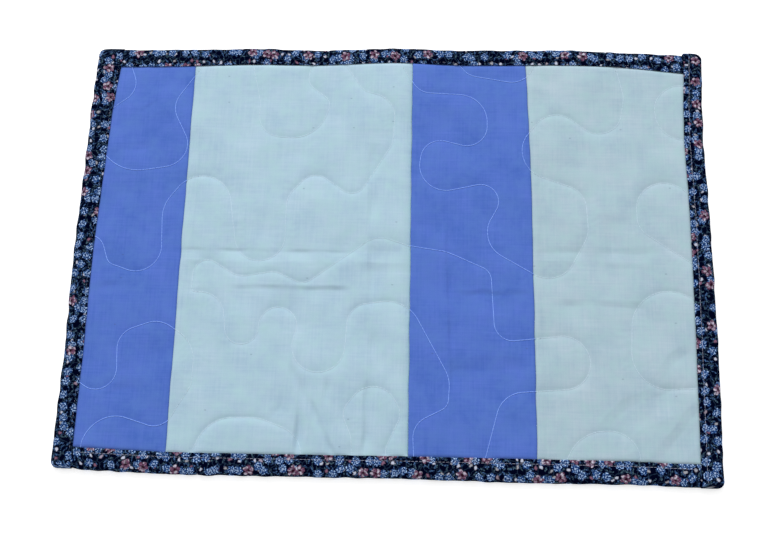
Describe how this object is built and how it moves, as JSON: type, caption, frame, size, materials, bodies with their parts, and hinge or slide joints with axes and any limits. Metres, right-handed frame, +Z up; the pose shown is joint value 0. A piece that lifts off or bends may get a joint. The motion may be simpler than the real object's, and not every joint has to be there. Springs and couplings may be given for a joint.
{
  "type": "quilted fabric placemat",
  "caption": "Rectangular quilted patchwork table mat lying flat: plain pieced panels with wavy quilting, edged by a folded flower-print binding.",
  "frame": {"origin": "on the flat underside, under the middle of the mat", "axes": "+X along the mat's long side to the right, +Y to the far edge, +Z up out of the quilted face"},
  "size_m": [0.4588, 0.3204, 0.0046],
  "materials": {
    "blue_cotton": "matt plain-woven cotton",
    "pale_cotton": "matt plain-woven cotton with slubs",
    "flower_print": "matt printed cotton"
  },
  "bodies": {
    "root": {"panel_blue_left": "blue_cotton", "panel_pale_left": "pale_cotton", "panel_blue_right": "blue_cotton", "panel_pale_right": "pale_cotton", "binding_top": "flower_print", "binding_bottom": "flower_print", "binding_left": "flower_print", "binding_right": "flower_print"}
  },
  "joints": []
}
